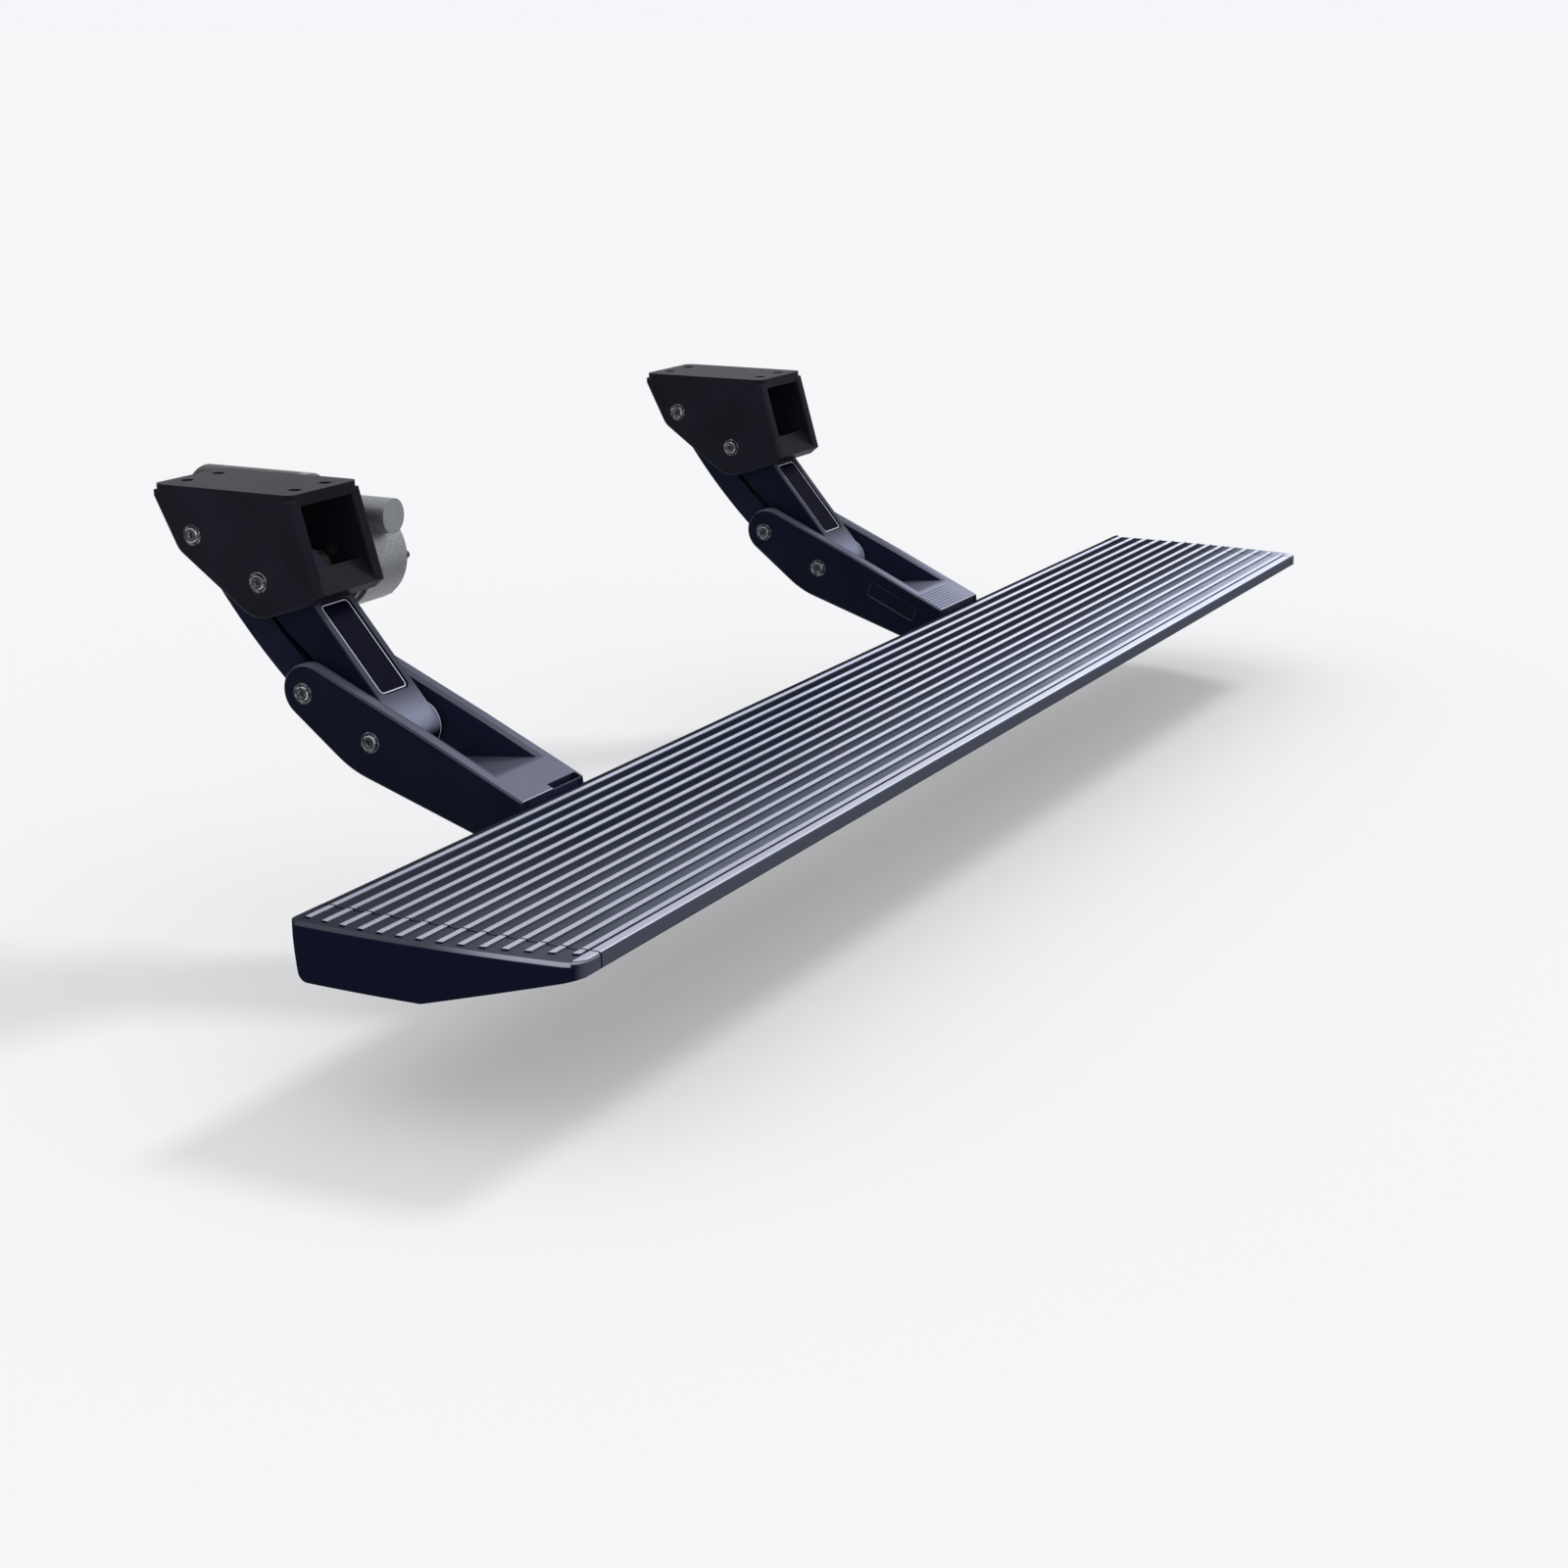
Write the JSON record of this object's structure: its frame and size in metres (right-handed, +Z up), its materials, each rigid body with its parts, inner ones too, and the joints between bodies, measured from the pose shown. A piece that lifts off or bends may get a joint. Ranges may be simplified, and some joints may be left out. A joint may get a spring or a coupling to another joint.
{
  "type": "electric side step",
  "caption": "Long ribbed step board on folding linkages that swing it out and down, driven by a motor with a worm gearbox.",
  "frame": {"origin": "centre of the front bracket's bolt pattern on its top face", "axes": "+X along the board towards its rear end, +Y inboard, +Z up along the bolts"},
  "size_m": [1.6126, 0.644, 0.293],
  "materials": {
    "board_coat": "satin black powder coat on an aluminium extrusion",
    "cap_plastic": "fine-grained moulded plastic",
    "arm_coat": "satin black powder coat on cast aluminium",
    "link_coat": "satin black powder coat on cast aluminium",
    "bracket_coat": "satin black powder coat on cast aluminium",
    "bright_steel": "bright stainless steel",
    "dark_steel": "black oxide steel",
    "ground_steel": "ground steel",
    "bearing_bronze": "oiled bronze",
    "pad_rubber": "matt rubber",
    "case_metal": "as-cast aluminium",
    "motor_paint": "satin black paint on steel",
    "magnet_grey": "bare sintered magnet",
    "core_steel": "stacked steel sheet",
    "gear_bronze": "machined bronze",
    "socket_plastic": "moulded plastic",
    "contact_brass": "bright contact metal"
  },
  "bodies": {
    "mounts": {"front_bracket": "bracket_coat", "rear_bracket": "bracket_coat", "front_stop_pad": "pad_rubber", "rear_stop_pad": "pad_rubber", "front_upper_guide_pin": "ground_steel", "rear_upper_guide_pin": "ground_steel", "rear_upper_drive_pin": "ground_steel", "front_bracket_spacer": "ground_steel", "rear_bracket_spacers": "ground_steel", "bracket_pivot_rings": "bright_steel", "bracket_pivot_screws": "bright_steel", "drive_shaft_bush": "bearing_bronze", "gear_case": "case_metal", "gear_cover": "case_metal", "cover_screws": "dark_steel", "gearbox_screws": "dark_steel", "shaft_bearings": "bearing_bronze", "motor_can": "motor_paint", "motor_magnets": "magnet_grey", "motor_bearings": "ground_steel", "power_socket": "socket_plastic", "socket_pins": "contact_brass"},
    "front_drive": {"front_drive_link": "link_coat", "front_drive_bush": "bearing_bronze", "drive_shaft": "ground_steel", "drive_shaft_spacer": "ground_steel", "drive_shaft_ring": "bright_steel", "drive_shaft_screw": "bright_steel", "worm_wheel": "gear_bronze"},
    "rear_drive": {"rear_drive_link": "link_coat", "rear_drive_bush": "bearing_bronze", "rear_upper_drive_bush": "bearing_bronze"},
    "front_guide": {"front_guide_link": "link_coat", "front_guide_low_bush": "bearing_bronze", "front_guide_top_bush": "bearing_bronze"},
    "rear_guide": {"rear_guide_link": "link_coat", "rear_guide_low_bush": "bearing_bronze", "rear_guide_top_bush": "bearing_bronze"},
    "step": {"step_board": "board_coat", "front_end_cap": "cap_plastic", "rear_end_cap": "cap_plastic", "front_step_arm": "arm_coat", "rear_step_arm": "arm_coat", "arm_bolts": "dark_steel", "slot_nuts": "dark_steel", "front_drive_pin": "ground_steel", "rear_drive_pin": "ground_steel", "front_guide_pin": "ground_steel", "rear_guide_pin": "ground_steel", "front_arm_spacers": "ground_steel", "rear_arm_spacers": "ground_steel", "arm_pivot_rings": "bright_steel", "arm_pivot_screws": "bright_steel"},
    "rotor": {"worm_shaft": "ground_steel", "armature": "core_steel"}
  },
  "joints": [
    {"name": "fold", "type": "hinge", "parent": "mounts", "child": "front_drive", "pos_m": [0, -0.033, -0.0733], "axis": [1, 0, 0], "range_deg": [0, 122.5]},
    {"name": "step_level", "type": "hinge", "parent": "front_drive", "child": "step", "pos_m": [0, -0.13691, -0.19496], "axis": [1, 0, 0], "range_deg": [-122.5, 0]},
    {"name": "front_guide_turn", "type": "hinge", "parent": "mounts", "child": "front_guide", "pos_m": [0, 0.03187, -0.03982], "axis": [1, 0, 0], "range_deg": [0, 122.5]},
    {"name": "rear_drive_turn", "type": "hinge", "parent": "mounts", "child": "rear_drive", "pos_m": [0.803, -0.033, -0.0733], "axis": [1, 0, 0], "range_deg": [0, 122.5]},
    {"name": "rear_guide_turn", "type": "hinge", "parent": "mounts", "child": "rear_guide", "pos_m": [0.803, 0.03187, -0.03982], "axis": [1, 0, 0], "range_deg": [0, 122.5]},
    {"name": "motor_turn", "type": "hinge", "parent": "mounts", "child": "rotor", "pos_m": [0.08, -0.033, -0.0353], "axis": [0, 1, 0], "range_deg": [0, 3675]}
  ],
  "couplings": [
    {"joint": "step_level", "follows": "fold", "ratio": -1},
    {"joint": "front_guide_turn", "follows": "fold", "ratio": 1},
    {"joint": "rear_drive_turn", "follows": "fold", "ratio": 1},
    {"joint": "rear_guide_turn", "follows": "fold", "ratio": 1},
    {"joint": "motor_turn", "follows": "fold", "ratio": 30}
  ]
}
